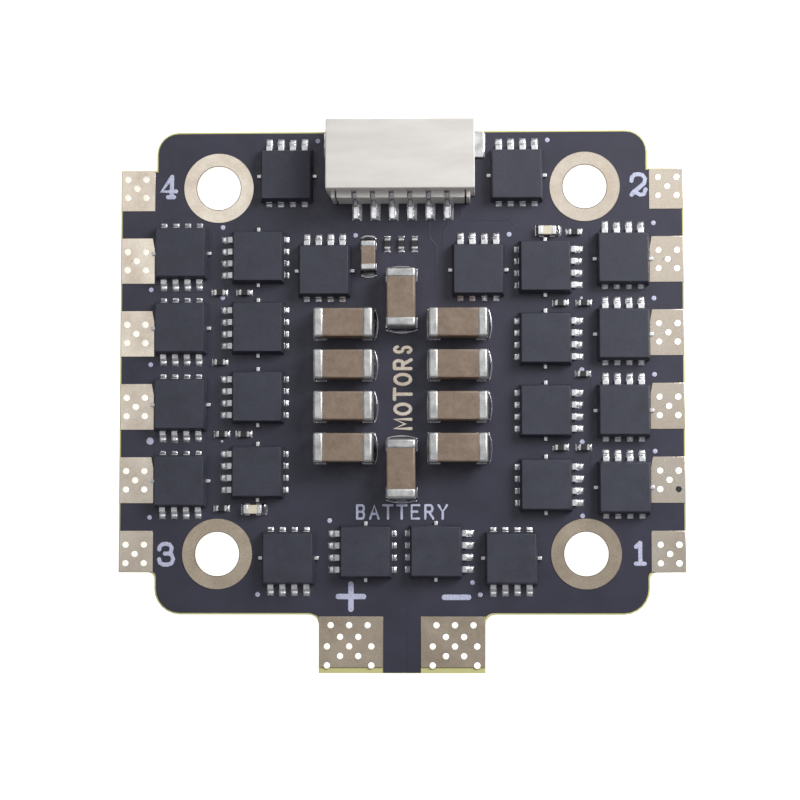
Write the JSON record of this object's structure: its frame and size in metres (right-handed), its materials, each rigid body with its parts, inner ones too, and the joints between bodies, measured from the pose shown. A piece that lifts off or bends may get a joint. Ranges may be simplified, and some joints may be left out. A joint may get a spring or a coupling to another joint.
{
  "type": "electronic speed controller",
  "caption": "Square circuit board of power transistors and ceramic capacitors, with motor pads along both sides, a battery tab and a side-entry signal connector.",
  "frame": {"origin": "centre of the 20 x 20 mm mounting-hole pattern, on the plane of the underside chips that the assembly rests on", "axes": "+Z out of the power face, +Y towards the signal connector, +X to the right with the connector at the far edge"},
  "size_m": [0.0308, 0.0297, 0.0054],
  "materials": {
    "board": "dark blue-black solder mask with a satin gloss over a woven glass and epoxy laminate",
    "mosfet_mould": "fine matt grey-black moulded epoxy with blank tops and tinned leads",
    "chip_mould": "matt black moulded epoxy",
    "ceramic": "satin tan-brown ceramic with bright tin ends",
    "connector_plastic": "ivory moulded nylon",
    "tinned_contact": "tin-plated bronze strip",
    "ferrite": "grey sintered ferrite, slightly grainy",
    "resistor_coat": "black enamel over a metal strip, with tinned ends",
    "gold_plating": "matt immersion gold over copper lands",
    "solder": "bright reflowed solder, slightly rippled",
    "legend_ink": "pale matt screen-printed ink"
  },
  "bodies": {
    "root": {"circuit_board": "board", "bus_capacitor_front": "ceramic", "bus_capacitor_left_1": "ceramic", "bus_capacitor_left_2": "ceramic", "bus_capacitor_left_3": "ceramic", "bus_capacitor_left_4": "ceramic", "bus_capacitor_rear": "ceramic", "bus_capacitor_right_1": "ceramic", "bus_capacitor_right_2": "ceramic", "bus_capacitor_right_3": "ceramic", "bus_capacitor_right_4": "ceramic", "connector_contact_1": "tinned_contact", "connector_contact_2": "tinned_contact", "connector_contact_3": "tinned_contact", "connector_contact_4": "tinned_contact", "connector_contact_5": "tinned_contact", "connector_contact_6": "tinned_contact", "connector_housing": "connector_plastic", "current_amplifier": "chip_mould", "current_shunt": "resistor_coat", "gate_driver_1": "chip_mould", "gate_driver_2": "chip_mould", "gate_driver_3": "chip_mould", "gate_driver_4": "chip_mould", "low_drop_regulator": "chip_mould", "microcontroller_1": "chip_mould", "microcontroller_2": "chip_mould", "microcontroller_3": "chip_mould", "microcontroller_4": "chip_mould", "mosfet_centre_left": "mosfet_mould", "mosfet_centre_right": "mosfet_mould", "mosfet_front_left": "mosfet_mould", "mosfet_front_right": "mosfet_mould", "mosfet_left_inner_1": "mosfet_mould", "mosfet_left_inner_2": "mosfet_mould", "mosfet_left_inner_3": "mosfet_mould", "mosfet_left_inner_4": "mosfet_mould", "mosfet_left_outer_1": "mosfet_mould", "mosfet_left_outer_2": "mosfet_mould", "mosfet_left_outer_3": "mosfet_mould", "mosfet_left_outer_4": "mosfet_mould", "mosfet_rear_1": "mosfet_mould", "mosfet_rear_2": "mosfet_mould", "mosfet_rear_3": "mosfet_mould", "mosfet_rear_4": "mosfet_mould", "mosfet_right_inner_1": "mosfet_mould", "mosfet_right_inner_2": "mosfet_mould", "mosfet_right_inner_3": "mosfet_mould", "mosfet_right_inner_4": "mosfet_mould", "mosfet_right_outer_1": "mosfet_mould", "mosfet_right_outer_2": "mosfet_mould", "mosfet_right_outer_3": "mosfet_mould", "mosfet_right_outer_4": "mosfet_mould", "small_capacitor_front": "ceramic", "small_capacitor_left": "ceramic", "small_capacitor_right": "ceramic", "solder_tab_left": "tinned_contact", "solder_tab_right": "tinned_contact", "step_down_inductor": "ferrite", "step_down_regulator": "chip_mould"}
  },
  "joints": []
}
